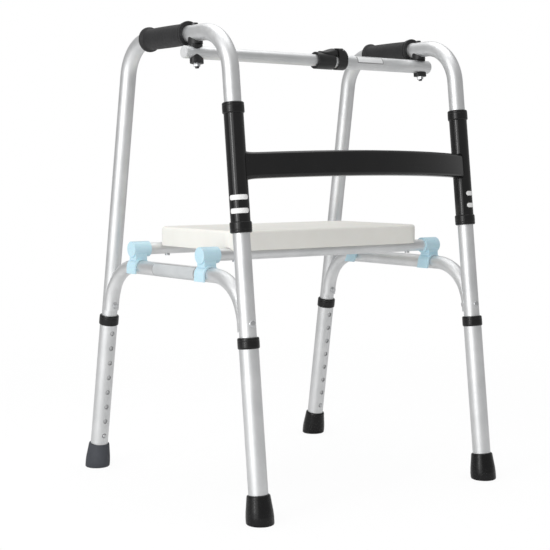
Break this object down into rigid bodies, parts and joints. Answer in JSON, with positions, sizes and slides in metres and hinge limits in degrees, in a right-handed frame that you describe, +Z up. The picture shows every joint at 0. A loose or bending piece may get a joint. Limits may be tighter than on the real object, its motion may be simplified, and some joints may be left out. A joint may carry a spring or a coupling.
{
  "type": "walking frame",
  "caption": "Folding aluminium walking frame with a lift-off seat, telescopic legs with spring buttons and an extending top bar with a flip-lever clamp.",
  "frame": {"origin": "on the floor, at the middle of the footprint's bounding box", "axes": "+Z up; -Y is the front, the side of the bowed cross bar; +X is to the right when looking at the front"},
  "size_m": [0.5106, 0.4969, 0.7255],
  "materials": {
    "aluminium_tube": "satin anodised",
    "black_enamel": "gloss black enamel",
    "collar_plastic": "moulded, semi-matt",
    "foot_rubber": "matt rubber",
    "grip_foam": "soft matt grip",
    "clamp_plastic": "moulded, satin",
    "saddle_plastic": "moulded, semi-matt",
    "seat_plastic": "fine-grained white moulding",
    "clip_plastic": "pale blue moulding",
    "cap_plastic": "light grey moulding",
    "dark_steel": "blackened steel",
    "bright_steel": "zinc-plated steel"
  },
  "bodies": {
    "front_frame": {"crossbar": "black_enamel", "left_sleeve": "black_enamel", "right_sleeve": "black_enamel", "left_sleeve_top_collar": "collar_plastic", "left_sleeve_bottom_collar": "collar_plastic", "right_sleeve_top_collar": "collar_plastic", "right_sleeve_bottom_collar": "collar_plastic"},
    "bar_inner": {"bar_inner_tube": "aluminium_tube", "bar_left_cap": "cap_plastic", "left_bar_upper_saddle": "saddle_plastic", "left_bar_lower_saddle": "saddle_plastic"},
    "bar_outer": {"bar_outer_tube": "aluminium_tube", "bar_right_cap": "cap_plastic", "right_bar_upper_saddle": "saddle_plastic", "right_bar_lower_saddle": "saddle_plastic", "clamp_collar": "clamp_plastic", "clamp_ring": "clamp_plastic", "clamp_pin": "bright_steel"},
    "lever": {"clamp_lever": "clamp_plastic"},
    "seat": {"seat_board": "seat_plastic", "front_seat_tube": "aluminium_tube", "rear_seat_tube": "aluminium_tube", "seat_screws": "bright_steel", "front_left_clip": "clip_plastic", "front_right_clip": "clip_plastic", "rear_left_clip": "clip_plastic", "rear_right_clip": "clip_plastic"},
    "left_side": {"left_side_tube": "aluminium_tube", "left_grip": "grip_foam", "left_rail": "aluminium_tube", "left_rail_bolts": "bright_steel", "left_handle_saddle": "saddle_plastic", "left_bar_bolt": "dark_steel", "left_bar_nut": "bright_steel", "left_button_springs": "bright_steel"},
    "front_left_lower_leg": {"front_left_leg": "aluminium_tube", "front_left_collar": "collar_plastic", "front_left_foot": "foot_rubber"},
    "front_left_press_button": {"front_left_button": "bright_steel"},
    "rear_left_lower_leg": {"rear_left_leg": "aluminium_tube", "rear_left_collar": "collar_plastic", "rear_left_foot": "foot_rubber"},
    "rear_left_press_button": {"rear_left_button": "bright_steel"},
    "right_side": {"right_side_tube": "aluminium_tube", "right_grip": "grip_foam", "right_rail": "aluminium_tube", "right_rail_bolts": "bright_steel", "right_handle_saddle": "saddle_plastic", "right_bar_bolt": "dark_steel", "right_bar_nut": "bright_steel", "right_button_springs": "bright_steel"},
    "front_right_lower_leg": {"front_right_leg": "aluminium_tube", "front_right_collar": "collar_plastic", "front_right_foot": "foot_rubber"},
    "front_right_press_button": {"front_right_button": "bright_steel"},
    "rear_right_lower_leg": {"rear_right_leg": "aluminium_tube", "rear_right_collar": "collar_plastic", "rear_right_foot": "foot_rubber"},
    "rear_right_press_button": {"rear_right_button": "bright_steel"}
  },
  "joints": [
    {"name": "left_fold", "type": "hinge", "parent": "front_frame", "child": "left_side", "pos_m": [-0.2255, -0.228, 0], "axis": [0, -0.1097, -0.994], "range_deg": [0, 20]},
    {"name": "right_fold", "type": "hinge", "parent": "front_frame", "child": "right_side", "pos_m": [0.2255, -0.228, 0], "axis": [0, 0.1097, 0.994], "range_deg": [0, 20]},
    {"name": "bar_left_swivel", "type": "hinge", "parent": "left_side", "child": "bar_inner", "pos_m": [-0.2271, -0.06928, 0.67695], "axis": [0, 0.1097, 0.994], "range_deg": [0, 20]},
    {"name": "bar_right_swivel", "type": "hinge", "parent": "right_side", "child": "bar_outer", "pos_m": [0.2271, -0.06928, 0.67695], "axis": [0, -0.1097, -0.994], "range_deg": [0, 20]},
    {"name": "seat_lift", "type": "slide", "parent": "front_frame", "child": "seat", "axis": [0, -0.1, 0.995], "range_m": [0, 0.251]},
    {"name": "clamp_flip", "type": "hinge", "parent": "bar_outer", "child": "lever", "pos_m": [0.049, -0.06928, 0.6945], "axis": [0, 1, 0], "range_deg": [0, 90]},
    {"name": "front_left_leg_slide", "type": "slide", "parent": "left_side", "child": "front_left_lower_leg", "axis": [0, -0.1097, -0.994], "range_m": [0, 0.1524]},
    {"name": "front_left_button_press", "type": "slide", "parent": "left_side", "child": "front_left_press_button", "axis": [0.0192, -0.9938, 0.1097], "range_m": [0, 0.0045], "stiffness_N_per_m": 2000},
    {"name": "rear_left_leg_slide", "type": "slide", "parent": "left_side", "child": "rear_left_lower_leg", "axis": [-0.0051, 0.1581, -0.9874], "range_m": [0, 0.1524]},
    {"name": "rear_left_button_press", "type": "slide", "parent": "left_side", "child": "rear_left_press_button", "axis": [-0.0185, 0.9872, 0.1582], "range_m": [0, 0.0045], "stiffness_N_per_m": 2000},
    {"name": "front_right_leg_slide", "type": "slide", "parent": "right_side", "child": "front_right_lower_leg", "axis": [0, -0.1097, -0.994], "range_m": [0, 0.1524]},
    {"name": "front_right_button_press", "type": "slide", "parent": "right_side", "child": "front_right_press_button", "axis": [-0.0192, -0.9938, 0.1097], "range_m": [0, 0.0045], "stiffness_N_per_m": 2000},
    {"name": "rear_right_leg_slide", "type": "slide", "parent": "right_side", "child": "rear_right_lower_leg", "axis": [0.0051, 0.1581, -0.9874], "range_m": [0, 0.1524]},
    {"name": "rear_right_button_press", "type": "slide", "parent": "right_side", "child": "rear_right_press_button", "axis": [0.0185, 0.9872, 0.1582], "range_m": [0, 0.0045], "stiffness_N_per_m": 2000}
  ],
  "couplings": [
    {"joint": "right_fold", "follows": "left_fold", "ratio": 1},
    {"joint": "bar_left_swivel", "follows": "left_fold", "ratio": 1},
    {"joint": "bar_right_swivel", "follows": "left_fold", "ratio": 1},
    {"joint": "seat_lift", "follows": "left_fold", "m_per_rad": 0.7162}
  ]
}
